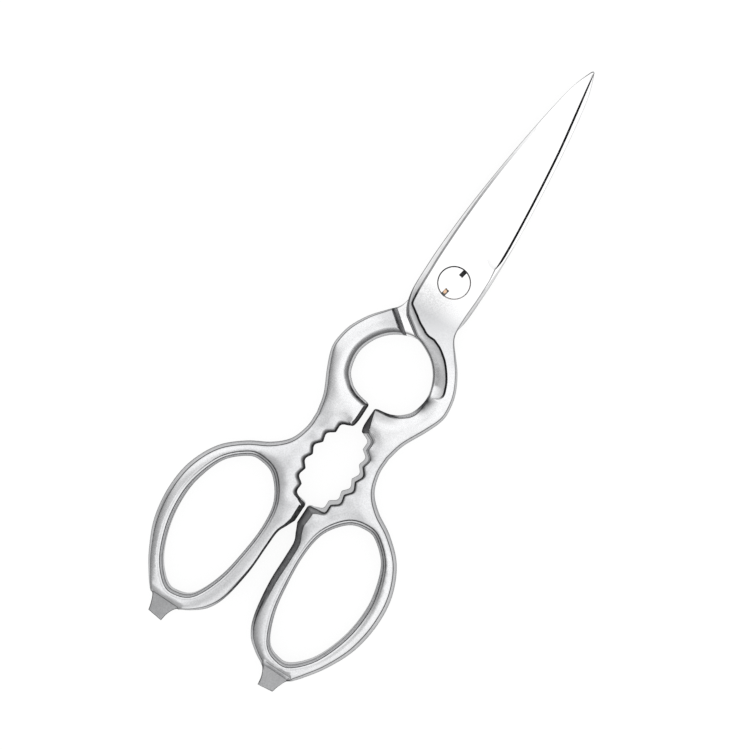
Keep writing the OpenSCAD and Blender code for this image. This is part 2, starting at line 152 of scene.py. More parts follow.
CAMERA_PLACE = (-0.0044, -0.00735, 0.5234)
CAMERA_TURN = math.radians(33.53)
CAMERA_LENS = 85
CAMERA_SENSOR = 36
FLOOR_HALF = 2.0
FLOOR_GLOW = 0.85  # share of the floor's white that doesn't come from the light
STUDIO_LEVEL = 1.12  # light of the white overhead
GREY_LEVEL = 0.3  # share of it that comes from the side of the handles
GREY_FADE = (-0.5, 12)  # degrees from straight up towards the handles
RIGHT_FADE = (2, 10)  # degrees from straight up to the right, where it is light again
LOW_FADE = (62, 88)  # degrees from straight up where the studio gets darker

# ---- settings a user would change ----


class ShearsSizes(bpy.types.PropertyGroup):
    ledge_drop: FloatProperty(
        name="Ledge drop",
        description="Drop of the ledge along the spine, heel and ring opening",
        default=0.9 * MM, min=0.5 * MM, max=1.3 * MM, unit="LENGTH")
    crown: FloatProperty(
        name="Crown",
        description="Fall of the handle's faces towards their edges",
        default=0.45 * MM, min=0.0, max=0.6 * MM, unit="LENGTH")
    draft: FloatProperty(
        name="Jaw draft",
        description="How far the top edge of the teeth stands back from the bottom edge",
        default=1.1 * MM, min=0.0, max=1.5 * MM, unit="LENGTH")


class ShearsColours(bpy.types.PropertyGroup):
    satin: FloatVectorProperty(
        name="Satin steel", description="Colour of the brushed handles",
        default=(0.84, 0.845, 0.86), size=3, subtype="COLOR", min=0.0, max=1.0)
    polished: FloatVectorProperty(
        name="Polished steel", description="Colour of the blades and the stud head",
        default=(0.96, 0.96, 0.965), size=3, subtype="COLOR", min=0.0, max=1.0)
    # Darkest colour of the painted shade in creases, recesses and on edges, partly forging scale
    shade: FloatVectorProperty(
        name="Painted shade and scale", description="Colour in the creases and on the ground edges",
        default=(0.045, 0.045, 0.047), size=3, subtype="COLOR", min=0.0, max=1.0)
    floor: FloatVectorProperty(
        name="Floor", description="Colour of the studio floor",
        default=(0.97, 0.97, 0.97), size=3, subtype="COLOR", min=0.0, max=1.0)


def sizes():
    return bpy.context.scene.shears_sizes


def colours():
    return bpy.context.scene.shears_colours


# ---- smooth contours ----
# A contour point holds x, y, then the width of the top and of the bottom edge, then how much each
# of these edges is a rim with a shoulder line, a flat facet, a wide cone or a ground cutting edge,
# how much the faces fall towards it, how dark the painted shade on it is (partly forging scale),
# and how far the top edge stands back.

(X, Y, TOP_W, LOW_W, RIM, LOW_RIM, FACET, LOW_FACET, LOW_CONE, GRIND, TOP_CROWN, LOW_CROWN,
 DARK, LOW_DARK, SHIFT_X, SHIFT_Y) = range(16)


def point(x, y, top=0.4, low=None, rim=0.0, crown=0.0, low_crown=None, low_rim=None, facet=0.0,
          low_facet=0.0, cone=0.0, grind=0.0, dark=1.0, low_dark=None):
    low, low_rim, low_crown, low_dark = (
        of_top if own is None else own
        for of_top, own in ((top, low), (rim, low_rim), (crown, low_crown), (dark, low_dark)))
    return [x, y, top, low, rim, low_rim, facet, low_facet, cone, grind, crown, low_crown,
            dark, low_dark, 0.0, 0.0]


def blend(a, b, c, d, t):
    """Catmull-Rom curve between b and c."""
    return (2 * b + (c - a) * t + (2 * a - 5 * b + 4 * c - d) * t * t
            + (3 * b - a - 3 * c + d) * t ** 3) / 2


def run(points, steps=SMOOTH):
    """Smooth curve through the points, without its last one."""
    p = np.array(points, float)
    q = np.vstack([2 * p[0] - p[1], p, 2 * p[-1] - p[-2]])
    return [blend(q[i - 1], q[i], q[i + 1], q[i + 2], k / steps)
            for i in range(1, len(p)) for k in range(steps)]


def loop(points, steps=SMOOTH):
    """Smooth closed curve through the points."""
    p = np.array(points, float)
    n = len(p)
    return [blend(p[i - 1], p[i], p[(i + 1) % n], p[(i + 2) % n], k / steps)
            for i in range(n) for k in range(steps)]


def blade(x, along, top=0.2, low=0.15, **more):
    """Contour point at a share of the blade's length."""
    return point(x, BLADE_LEN * along, top, low, **more)


def rim(x, y, top, low=None, crown=0.5):
    """Contour point with a shoulder line all along both of its edges."""
    return point(x, y, top, low, 1, crown=crown)


def tab(x, y):
    """Contour point of the flat tab at the handle's end."""
    return point(x, y, 0.35, dark=1.3)


def ring(angle, share, top, low, cone=1, **more):
    """Contour point round the ring opening, by angle and share of its radius."""
    a = math.radians(angle)
    r = RING_R * share
    return point(r * math.cos(a), r * math.sin(a) - OPENING_Y, top, low, low_crown=0.6, cone=cone,
                 **more)


STOP_BAR = dict(facet=1, low_facet=1, crown=0.2, low_crown=0.4, dark=1.3, low_dark=2.3)

# Points where two runs of the contour meet

HEEL = point(-HEEL_X, -HEEL_Y, 1.2, 0.3, rim=0.9, dark=1.7)
RING_TOP = ring(93, 1.06, 1.1, 0.4, 0, rim=0.9, dark=1.4)
RING_FOOT = ring(-80, 0.93, 0.8, 1.7, crown=1.6, facet=0.4, dark=1.6)
STOP_END = point(STOP_X, -JAW_END - STOP_LEN + 1, 2.4, 1.5, **STOP_BAR)
TAB_INSIDE = point(BOW_X - 5.4, -TAB_ROOT + 0.3, 2.0, 0.8, 0.9, crown=0.1)
TAB_OUTSIDE = point(BOW_X + 5.6, -TAB_ROOT + 0.9, 2.0, 0.8, 0.9, crown=0.1)
WAIST = rim(WAIST_X, -JAW_TOP - 2.1, 2.1, crown=0.6)
EDGE_START = point(EDGE_X, GRIND_Y - 4, 0.4, 0.15)
TIP = blade(TIP_W * 0.35, 1 - 0.3 * TIP_W / BLADE_LEN, 0.4, dark=1.3)


def spine():
    return run([
        blade(-TIP_W * 0.1, 1, 0.5, dark=1.8),
        blade(-TIP_W * 0.75, 1 - TIP_W / BLADE_LEN, 0.4, dark=1.6),
        blade(-SPINE_X * 0.29, 0.91, 0.15),
        blade(-SPINE_X * 0.445, 0.81, 0.2),
        blade(-SPINE_X * 0.605, 0.675, 0.25),
        blade(-SPINE_X * 0.735, 0.54, 0.3),
        blade(-SPINE_X * 0.85, 0.4, 0.35),
        blade(-SPINE_X * 0.935, 0.27, 0.35),
        blade(-SPINE_X, 0.1, 0.4, 0.7, low_facet=1, low_dark=0.7),
        point(-SPINE_X - 0.05, 0, 0.45, 1.1, low_facet=1, low_dark=0.8),
        point(-SPINE_X + 0.2, -HEEL_Y / 2, 0.5, 1.2, low_facet=1, low_dark=0.8),
        point(-HEEL_X - 1.7, -HEEL_Y + 2.9, 0.9, 0.6, rim=0.8, low_facet=0.5, dark=1.6,
              low_dark=0.6),
        HEEL])


def ring_edge():
    return run([HEEL, RING_TOP]) + run([
        RING_TOP,
        ring(78, 1.01, 0.9, 1.4, crown=0.6, rim=0.5),
        ring(56, 0.975, 0.8, 2.1, crown=0.8, rim=0.3),
        ring(33, 0.965, 0.8, 2.2, crown=1.0, rim=0.3),
        ring(10, 0.985, 0.8, 2.2, crown=1.2, rim=0.3),
        ring(-8, 1.01, 1.3, 2.2, crown=1.2, rim=0.7),
        ring(-29, 1.035, 2.2, 2.2, crown=0.7, rim=1),
        ring(-45, 1.015, 1.9, 2.0, crown=0.9, rim=0.9),
        ring(-56, 0.99, 1.2, 1.9, crown=1.6, rim=0.2, facet=0.4, dark=1.6),
        ring(-66, 0.96, 0.9, 1.8, crown=1.9, facet=0.6, dark=1.8),
        RING_FOOT])


def lips():
    top = dict(crown=0.2, low_crown=0.4, low_facet=1, dark=1.5, low_dark=1.9)
    return run([
        RING_FOOT,
        point(LIP_X + 0.1, -RING_END - 0.3, 0.5, 1.3, facet=0.3, **top),
        point(LIP_X, -RING_END - 1.6, 0.7, 1.3, facet=1, **top),
        point(LIP_X, -JAW_TOP + 2.6, 2.0, 1.3, facet=1, **top),
        point(LIP_X + 0.4, -JAW_TOP + 0.6, 2.6, 1.2, facet=1, **top),
        point(JAW_MOUTH, -JAW_TOP, 2.2, 0.6, facet=1, **top)])


def jaw(draft):
    rise = JAW_W - JAW_MOUTH
    radius = (JAW_LEN ** 2 / 4 + rise ** 2) / (2 * rise)
    turn = math.asin(JAW_LEN / 2 / radius)
    middle = -(JAW_TOP + JAW_END) / 2

    def tooth(k):
        a = turn * (1 - 2 * k / SCALLOPS)
        return np.array([JAW_W - radius + radius * math.cos(a), middle + radius * math.sin(a)])

    points = []
    for k in range(SCALLOPS):
        a, b = tooth(k), tooth(k + 1)
        out = np.array([a[1] - b[1], b[0] - a[0]]) / np.linalg.norm(b - a)
        for i in range(TOOTH_STEPS):
            t = i / TOOTH_STEPS
            wave = 0.4 * 4 * t * (1 - t) + 0.6 * math.sin(math.pi * t) ** 2
            p = a + (b - a) * t + out * SCALLOP_H * wave
            down = (k + t) / SCALLOPS  # share of the jaw above this point
            first = max(0.0, 1 - down / 0.4)
            last = float(ease(down, 0.9, 1))
            q = point(p[0], p[1], 1.1 + 0.3 * first + 0.6 * last, 1.5 - 0.6 * last,
                      min(1.0, 2 * first), crown=0.4, low_crown=0.7 - 0.3 * last, low_rim=0,
                      facet=last, low_facet=0.3 + 0.7 * last, dark=1.5 - 0.2 * last,
                      low_dark=1.5 + 0.8 * last)
            face = p - np.array([JAW_W - radius, middle])
            face /= np.linalg.norm(face)
            fade = min(1.0, 12 * (1 - down))
            q[SHIFT_X], q[SHIFT_Y] = face * draft * fade
            points.append(np.array(q))
    return points


def stops():
    return run([
        point(JAW_MOUTH, -JAW_END, 1.7, 0.9, **STOP_BAR),
        point(STOP_X + 0.6, -JAW_END - 0.2, 2.2, 1.3, **STOP_BAR),
        point(STOP_X, -JAW_END - 0.9, 2.4, 1.5, **STOP_BAR),
        point(STOP_X, -JAW_END - 2.2, 2.6, 1.6, **STOP_BAR),
        STOP_END])


def bow_inside():
    side = dict(facet=1, crown=0.5, low_crown=0.5, low_facet=1, dark=1.4, low_dark=2.2)
    return run([
        STOP_END,
        point(STOP_X + 1.2, -JAW_END - STOP_LEN - 1.6, 2.0, 0.9, **side),
        point(BOW_IN - 4.6, -BOW_Y + 8.2, 2.0, 0.7, **side),
        point(BOW_IN - 4.35, -BOW_Y + 3, 2.0, 0.65, **side),
        point(BOW_IN - 4.1, -BOW_Y - 6, 1.9, 0.7, **side),
        point(BOW_IN - 2.5, -BOW_Y - 16, 1.9, 1.3, rim=0.6, crown=0.5, facet=0.4, dark=1.5),
        rim(BOW_IN, -BOW_END + 1.3, 2.1, 1.8),
        rim(BOW_IN + 3.6, -BOW_END - 1.8, 2.1, 1.2, 0.4),
        TAB_INSIDE])


def tab_inside():
    return run([
        TAB_INSIDE,
        tab(BOW_X - 3.8, -TAB_ROOT - 1.2),
        tab(BOW_X - TAB_W / 2 - 0.4, -HANDLE_LEN + 2.4),
        tab(BOW_X - TAB_W / 2, -HANDLE_LEN)])


def tab_outside():
    return run([
        tab(BOW_X + TAB_W / 2, -HANDLE_LEN + 0.6),
        tab(BOW_X + TAB_W / 2 + 0.5, -HANDLE_LEN + 2.6),
        tab(BOW_X + 3.9, -TAB_ROOT - 0.8),
        TAB_OUTSIDE])


def bow_outside():
    return run([
        TAB_OUTSIDE,
        rim(BOW_X + 7.8, -BOW_END - 0.3, 2.3, 1.3),
        rim(BOW_OUT - 5.3, -BOW_END + 5.8, 2.4, 2.0),
        rim(BOW_OUT - 1.5, -BOW_Y - 8.5, 2.7, 2.6),
        rim(BOW_OUT, -BOW_Y + 1.3, 2.8),
        rim(BOW_OUT - 1, -BOW_Y + 10.7, 2.6),
        rim(BOW_OUT - 5, -BOW_TOP - 3.5, 2.4),
        rim(BOW_OUT - 11.3, -BOW_TOP + 2.4, 2.3),
        rim(BOW_X - 0.5, -BOW_TOP + 6.2, 2.4, crown=0.6),
        rim(WAIST_X + 2, -BOW_TOP + 10.4, 2.2, crown=0.6),
        rim(WAIST_X + 0.1, -BOW_TOP + 15.9, 2.1, crown=0.6),
        WAIST])


def ring_outside():
    return run([
        WAIST,
        rim(WAIST_X + 1.4, -JAW_TOP + 3.6, 2.1, crown=0.6),
        rim(RING_X - 2.2, -RING_Y - 9.4, 2.1, crown=0.6),
        rim(RING_X - 0.2, -RING_Y - 4.2, 1.8, crown=0.6),
        rim(RING_X, -RING_Y - 0.4, 1.7, crown=0.6),
        rim(RING_X - 1.1, -RING_Y + 4.6, 1.6, crown=0.6),
        rim(RING_X - 3.9, -RING_Y + 9.9, 1.4),
        point(RING_X - 7.2, -RING_Y + 14, 1.1, 1.1, 0.8, crown=0.25),
        point(EDGE_X + 1.6, -HEEL_Y + 0.5, 0.7, 0.7, 0.4, crown=0.1),
        point(EDGE_X + 0.5, -HEEL_Y + 2.5, 0.6, 0.3),
        point(EDGE_X + 0.1, -HEEL_Y + 4.9, 0.5, 0.2),
        point(EDGE_X - 0.05, -HEEL_Y + 9.4, 0.4, 0.15),
        point(EDGE_X + 0.1, 0, 0.4, 0.15),
        EDGE_START])


def ground(x, along, **more):
    """Point of the cutting edge, whose ground face gets narrow at the tip."""
    reach = min(GRIND_W * 0.65, max(1.9, BLADE_LEN * (1 - along) / 5))
    return blade(x, along, reach, grind=1, **more)


def cutting_edge():
    return run([
        EDGE_START,
        point(EDGE_X - 0.35, GRIND_Y - 0.8, 0.5, 0.15),
        point(EDGE_X - 0.45, GRIND_Y, 0.6, 0.15, grind=0.5),
        point(EDGE_X - 0.2, GRIND_Y + 1.3, 1.6, 0.15, grind=1),
        ground(EDGE_X, 0.19),
        ground(EDGE_X * 0.955, 0.27),
        ground(EDGE_X * 0.85, 0.4),
        ground(EDGE_X * 0.715, 0.54),
        ground(EDGE_X * 0.56, 0.675),
        ground(EDGE_X * 0.36, 0.81),
        ground(EDGE_X * 0.14, 0.945),
        TIP])


def outline(draft):
    """The whole contour of a half, clockwise from the tip; the jaw's top edge leans back."""
    return np.array(
        spine() + ring_edge() + lips() + jaw(draft) + stops() + bow_inside() + tab_inside()
        + [np.array(point(BOW_X - TAB_W / 2, -HANDLE_LEN, 0.2))]
        + tab_outside() + bow_outside() + ring_outside() + cutting_edge()
        + [np.array(TIP)])


def bow(across, along, width, crown=0.5):
    """Point round a finger loop's hole, in shares of half its size."""
    return point(BOW_X + BOW_W / 2 * across, -BOW_Y + BOW_LEN / 2 * along, width, width, 1,
                 crown=crown, dark=1.2)


def finger_loop():
    return np.array(loop([
        bow(-0.07, 1, 2.0),
        bow(0.26, 0.955, 1.8),
        bow(0.7, 0.73, 1.7),
        bow(0.95, 0.36, 1.9),
        bow(1, 0.03, 2.0),
        bow(0.9, -0.34, 1.9),
        bow(0.62, -0.72, 1.7),
        bow(0.22, -0.96, 1.6),
        bow(-0.1, -1, 1.6),
        bow(-0.5, -0.9, 1.6),
        bow(-0.8, -0.55, 1.7),
        bow(-0.94, -0.15, 1.6),
        bow(-1, 0.3, 1.6),
        bow(-0.89, 0.66, 1.7),
        bow(-0.5, 0.93, 2.0)]))


# Crisp line between the front face and its ledge, from the spine round the heel to the hook
LEDGE_LINE = [
    (-5.42, 50), (-6.05, 45), (-6.6, 40), (-7.1, 35), (-7.5, 30), (-7.82, 25), (-8.02, 20),
    (-8.2, 14), (-8.25, 5), (-8.1, 0), (-7.9, -6), (-7.6, -9.5), (-7.3, -11.4), (-6.9, -12.1),
    (-6.2, -12.6), (-4.2, -13.9), (-2, -15.4), (0, -16.4), (1, -16.95), (2.4, -17.35),
    (4.2, -17.4), (5.2, -17.75), (7, -18.5), (9, -19.9), (10.2, -20.9), (12, -22.9),
    (13.8, -25.5), (14.9, -28), (15.2, -29.2), (14.95, -30.0), (14.3, -30.7)]

# ---- heights ----


def ease(value, low, high):
    """0 up to low, 1 from high on, smooth between."""
    t = np.clip((value - low) / (high - low), 0, 1)
    return t * t * (3 - 2 * t)


# Distances above a tab's root and the rise there, for the low side and for the top side
TAB_STEPS = ((0, 0.12, 0.35, 0.55, 0.75, 1.3, 2.2), (0, 0.1, 0.6, 1.3, 1.5, 1.7, 2.3))
TAB_RISE = ((0, 0.5, 1.9, 2.25, 2.5, 2.75, 2.8), (0, 0.35, 1.1, 1.95, 2.25, 2.5, 2.8))
# Rows of the tab's steps that get painted shade in the crease
TAB_LINE = ((0.35, 0.55), (1.5, 1.5))  # rows of these steps that are dark
TAB_CREASE_SHADE = 0.65
TAB_TONE = 0.24


def side_view(y, top):
    """Height of a face over the riding plane at a distance y from the pivot."""
    steps, rise = TAB_STEPS[top], TAB_RISE[top]
    handle = np.interp(y, [-HANDLE_LEN] + [s - TAB_ROOT for s in steps],
                       [TAB_END_T / 2] + [TAB_ROOT_T / 2 + r for r in rise])
    if not top:
        return handle
    neck = BLADE_T + (HALF_T - BLADE_T) * ease(-y, HEEL_Y - 3, HEEL_Y + 9)
    taper = BLADE_T - (BLADE_T - TIP_T) * np.clip(y / BLADE_LEN, 0, 1) ** 2
    return np.where(y < -HEEL_Y - 9, handle, np.where(y < 0, neck, taper))


def nearest(path, columns, at):
    """Distance from each place to a path, and the path's columns at the nearest point."""
    a, b = path[:-1], path[1:]
    d = b[:, :2] - a[:, :2]
    length = np.maximum((d * d).sum(1), TINY)
    p = at[:, None, :]
    t = np.clip(((p - a[:, :2]) * d).sum(2) / length, 0, 1)
    gap = np.linalg.norm(p - a[:, :2] - t[..., None] * d, axis=2)
    k = gap.argmin(1)
    rows = np.arange(len(k))
    share = t[rows, k][:, None]
    return gap[rows, k], a[k][:, columns] * (1 - share) + b[k][:, columns] * share


def lap_floor(at):
    """Height under which the other half's blade needs room."""
    out = at[:, 0] * math.cos(LAP_ANGLE) + at[:, 1] * math.sin(LAP_ANGLE) - LAP_R
    t = np.clip(out / LAP_SLOPE, 0, 1)
    wall = RIDE_GAP / 2 - (HALF_T + 0.2) * (0.7 * t + 0.3 * t * t)
    return np.where(t >= 1, -2 * HALF_T, wall)


# ---- edge profiles ----
# Each line of an edge: its share of the edge's width (from the wall inwards), its share of the
# depth (under the face), and how much painted shade lies there, partly forging scale

ROUND = [(1 - math.cos(math.radians(a)), 1 - math.sin(math.radians(a)), shade_and_scale) for a, shade_and_scale in (
    (0, 0.12), (12, 0.45), (24, 0.65), (36, 0.75), (47, 0.72), (57, 0.6), (66, 0.4), (74, 0.22),
    (80, 0.1), (85, 0.03), (90, 0))]
SHOULDER = [(0, 1, 0.5), (0.05, 0.8, 0.4), (0.2, 0.56, 0.15), (0.36, 0.4, 0.12), (0.4, 0.36, 0.8),
            (0.46, 0.24, 0.95), (0.52, 0.17, 0.08), (0.68, 0.08, 0), (0.75, 0.055, 0),
            (0.84, 0.03, 0), (1, 0, 0)]
FLAT = [(0, 1, 0.85), (0.03, 0.96, 0.95), (0.07, 0.9, 0.8), (0.27, 0.7, 0.55), (0.46, 0.51, 0.45),
        (0.64, 0.33, 0.45), (0.8, 0.16, 0.5), (0.9, 0.06, 0.7), (0.95, 0.02, 0.4),
        (0.98, 0.005, 0.15), (1, 0, 0)]
CONE = [(0, 1, 0.5), (0.02, 0.97, 0.2), (0.28, 0.81, 0.15), (0.34, 0.75, 0.75), (0.5, 0.54, 0.75),
        (0.66, 0.34, 0.5), (0.8, 0.17, 0.25), (0.88, 0.09, 0.06), (0.93, 0.045, 0),
        (0.97, 0.015, 0.45), (1, 0, 0)]
GROUND = [(0, 1, 0.95), (0.09, 0.7, 1), (0.18, 0.4, 1), (0.28, 0.07, 1), (0.3, 0.06, 0),
          (0.4, 0.05, 0), (0.52, 0.04, 0), (0.64, 0.028, 0), (0.76, 0.018, 0), (0.88, 0.008, 0),
          (1, 0, 0)]
# Lines of a shoulder that can carry a second painted dark line
SECOND_LINE = (8, 9)  # the lines of a shoulder that can be dark as well
TOP_EDGE = [TOP_W, GRIND, RIM, FACET, DARK]
LOW_EDGE = [LOW_W, LOW_CONE, LOW_RIM, LOW_FACET, LOW_DARK]
EDGE_Z = 0.3  # height of the cutting edge over the riding plane
DARKEST = 0.98
# Painted shade on the walls, darker still on their lowest line
WALL_FOOT_SHADE = 2.5  # how much darker the lowest line is
WALL_SHADE = 0.07
WALL_LINES = (0.15, 0.85)  # shares of a wall's height with a line of their own
FULL_DEPTH = 2.2
LEAST_WIDTH = 0.05
MITRE_REACH = 40  # points along a contour within which an inset may cross itself


def inward(path):
    """Unit normals that point into the steel."""
    d = np.roll(path[:, :2], -1, axis=0) - np.roll(path[:, :2], 1, axis=0)
    n = np.stack([-d[:, 1], d[:, 0]], 1)
    return n / np.linalg.norm(n, axis=1)[:, None]


def mitred(inset):
    """An inset line whose points past a corner's mitre have moved onto the mitre."""
    line = inset.copy()
    n = len(line)
    i = 0
    while i < n:
        later = (i + np.arange(2, MITRE_REACH)) % n
        r = line[(i + 1) % n] - line[i]
        s = line[(later + 1) % n] - line[later]
        q = line[later] - line[i]
        cross = r[0] * s[:, 1] - r[1] * s[:, 0]
        cross[np.abs(cross) < TINY] = TINY
        t = (q[:, 0] * s[:, 1] - q[:, 1] * s[:, 0]) / cross
        u = (q[:, 0] * r[1] - q[:, 1] * r[0]) / cross
        hits = np.flatnonzero((t >= 0) & (t <= 1) & (u >= 0) & (u <= 1))
        if len(hits):
            last = hits[-1]
            line[(i + 1 + np.arange(last + 2)) % n] = line[i] + t[last] * r
            i += last + 1
        i += 1
    return line


def edge_rings(path, top, double=0.0):
    """Plan, depth and tone of each line of an edge, from the wall to the face."""
    width, special, rims, facets, dark = path[:, TOP_EDGE if top else LOW_EDGE].T
    width = width.clip(LEAST_WIDTH)
    full = inward(path) * width[:, None]
    draft = path[:, SHIFT_X:SHIFT_Y + 1]
    length = np.linalg.norm(draft, axis=1)
    in_jaw = length > 1e-6
    full[in_jaw] = draft[in_jaw] / length[in_jaw, None] * width[in_jaw, None]
    start = path[:, :2] + (draft if top else 0)
    full = mitred(start + full) - start
    weights = np.array([special, rims, facets]).clip(0, 1)
    weights[1:] *= 1 - weights[0]
    weights[2] *= 1 - weights[1]
    weights = np.vstack([1 - weights.sum(0), weights])
    profiles = (ROUND, GROUND if top else CONE, SHOULDER, FLAT)
    depth = width.clip(0, FULL_DEPTH)
    if top:
        depth += (side_view(path[:, Y], True) - EDGE_Z - depth) * weights[1]
    rings = []
    for k in range(len(ROUND)):
        share, drop, shade_and_scale = sum(w * np.array(profile[k])[:, None]
                                for w, profile in zip(weights, profiles))
        if k in SECOND_LINE:
            shade_and_scale = shade_and_scale + double
        rings.append((start + full * share[:, None], depth * drop, (shade_and_scale * dark).clip(0, DARKEST)))
    return rings


# ---- building a forging ----


def only(kind, geom):
    return [g for g in geom if isinstance(g, kind)]


def valid(items):
    return [item for item in items if item.is_valid]


class Forging:
    """One forged half in millimetres, with the pivot at the origin and its outer face up."""

    def __init__(self, pivot_hole):
        s = sizes()
        self.crown = s.crown / MM
        self.drop = s.ledge_drop / MM
        self.pivot_hole = pivot_hole
        self.contour = outline(s.draft / MM)
        self.opening = finger_loop()
        self.bm = bmesh.new()
        self.order = self.bm.verts.layers.int.new("order")
        # Painted shade, partly forging scale, that darkens the steel's colour
        self.shade_and_scale = self.bm.verts.layers.float.new("shade_and_scale")
        self.bm.verts.layers.float.new("satin")

    # heights

    def face(self, at, top):
        """Height of a face, which falls a little towards the handle's edges."""
        crown, width = (TOP_CROWN, TOP_W) if top else (LOW_CROWN, LOW_W)
        end = int(np.argmin(self.contour[:, Y]))
        closed = np.vstack([self.opening, self.opening[:1]])
        fall = np.zeros(len(at))
        for path in (self.contour[:end + 1], self.contour[end + 1:], closed):
            gap, found = nearest(path, [crown, width, SHIFT_X, SHIFT_Y], at)
            used = found[:, 1] + (np.hypot(found[:, 2], found[:, 3]) if top else 0)
            reach = FALL_REACH + FALL_MORE * (found[:, 0] - 1).clip(0)
            fall += found[:, 0] * np.clip(1 - (gap - used).clip(0) / reach, 0, 1) ** 2
        return side_view(at[:, 1], top) - fall * self.crown

    def ledge(self, at):
        """Height of the ledge, which starts on the spine and ends in a hook beside the ring."""
        deep = self.drop * (0.1 + 0.9 * ease(-at[:, 1], *LEDGE_DEEPENS))
        return self.face(at, True) - deep * (1 - ease(-at[:, 1], *LEDGE_HOOK))

    # rings

    def ring(self, plan, z, shade_and_scale):
        verts = []
        for i, p in enumerate(plan):
            v = self.bm.verts.new((p[0], p[1], z[i]))
            v[self.order] = i
            v[self.shade_and_scale] = shade_and_scale[i]
            verts.append(v)
        return verts, [self.bm.edges.new((verts[i - 1], verts[i])) for i in range(len(verts))]

    def raised(self, edges, plan, z, shade_and_scale):
        """Extrude a ring and put the copy on the next line of the profile."""
        geom = bmesh.ops.extrude_edge_only(self.bm, edges=edges)["geom"]
        verts = sorted(only(BMVert, geom), key=lambda v: v[self.order])
        for i, v in enumerate(verts):
            v.co = (plan[i][0], plan[i][1], z[i])
            v[self.shade_and_scale] = shade_and_scale[i]
        return verts, only(BMEdge, geom)

    def wall(self, path, in_ledge=None, double=0.0):
        """All the lines round one contour, from the bottom face to the top face."""
        low, high = edge_rings(path, False, double), edge_rings(path, True, double)
        low_z = -self.face(low[-1][0], False)
        top_z = self.face(high[-1][0], True)
        if in_ledge is not None:
            top_z = np.where(in_ledge, self.ledge(high[-1][0]), top_z)
        (foot, rise, foot_shade), (brow, fall, _) = low[0], high[0]
        start, end = low_z + rise, top_z - fall
        low[0] = foot, rise, (foot_shade * WALL_FOOT_SHADE).clip(0, DARKEST)
        middle = [(foot + (brow - foot) * share, start + (end - start) * share,
                   np.full(len(path), WALL_SHADE)) for share in WALL_LINES]
        lines = ([(p, low_z + d, t) for p, d, t in reversed(low)] + middle
                 + [(p, top_z - d, t) for p, d, t in high])
        first = verts, edges = self.ring(*lines[0])
        for line in lines[1:]:
            verts, edges = self.raised(edges, *line)
        return self.welded(first[0]), self.welded(verts)

    def welded(self, verts):
        """Join the points of a face's edge that lie on one mitre."""
        bmesh.ops.remove_doubles(self.bm, verts=verts, dist=MITRE_WELD)
        return valid(verts)

    # pivot hole

    def bore(self):
        """The wall of the pivot hole, with its lugs or its countersink."""
        bottom = RIDE_GAP / 2
        if self.pivot_hole == "lugs":
            mouth = BORE_R + BORE_CHAMFER
            stages = [(bottom, BORE_R), (LUG_TOP, BORE_R), (BLADE_T - BORE_CHAMFER, BORE_R),
                      (BLADE_T, mouth), (BLADE_T, mouth + BORE_RIM)]
        else:
            stages = [(bottom, RIVET_R + BORE_RIM), (bottom + BORE_RIM, RIVET_R),
                      (BLADE_T - UPSET_T, RIVET_R), (BLADE_T, UPSET_R), (BLADE_T, UPSET_R + 0.1)]
        turns = [2 * math.pi * i / BORE_SIDES for i in range(BORE_SIDES)]

        # Each line's painted shade is lightest on the side from which light gets into the gap
        # round the stud
        def line(z, r, strength):
            return ([(r * math.cos(a), r * math.sin(a)) for a in turns], [z] * BORE_SIDES,
                    [strength * (0.55 - 0.45 * math.cos(a - GAP_LIGHT)) for a in turns])

        first = verts, edges = self.ring(*line(*stages[0], 1))
        for k, stage in enumerate(stages[1:]):
            verts, edges = self.raised(edges, *line(*stage, stage != stages[-1]))
            if k == 0 and self.pivot_hole == "lugs":
                low_band = dict.fromkeys(f for v in verts for f in v.link_faces)
        if self.pivot_hole == "lugs":
            self.lugs([f for f in valid(low_band) if self.on_lug(f)])
        return first[0], verts

    def on_lug(self, face):
        c = face.calc_center_median()
        turn = (math.atan2(c.y, c.x) - LUG_ANGLE) % math.pi
        return c.z < LUG_TOP and min(turn, math.pi - turn) < LUG_HALF

    def lugs(self, faces):
        """Push two lugs out of the bore's wall, under the notches of the stud's head."""
        geom = bmesh.ops.extrude_face_region(self.bm, geom=faces)["geom"]
        for v in only(BMVert, geom):
            r = math.hypot(v.co.x, v.co.y)
            v.co.x *= LUG_R / r
            v.co.y *= LUG_R / r
        bmesh.ops.delete(self.bm, geom=faces, context="FACES")

    # faces

    def fill(self, side, chains, loops=()):
        """Flat face inside chains of vertices that meet and closed loops of them."""
        lines = [*chains, *(verts + verts[:1] for verts in loops)]
        edges = [self.bm.edges.get(pair) for verts in lines for pair in zip(verts, verts[1:])]
        out = bmesh.ops.triangle_fill(self.bm, use_beauty=True, use_dissolve=False,
                                      edges=edges, normal=(0, 0, side))
        return only(BMFace, out["geom"])

    def cut(self, faces, place, normal):
        """Cut faces along a plane, and give back the faces that are there then."""
        geom = {*faces, *(e for f in faces for e in f.edges), *(v for f in faces for v in f.verts)}
        out = bmesh.ops.bisect_plane(self.bm, geom=list(geom), dist=NO_LENGTH, plane_co=place,
                                     plane_no=normal)
        return only(BMFace, out["geom"])

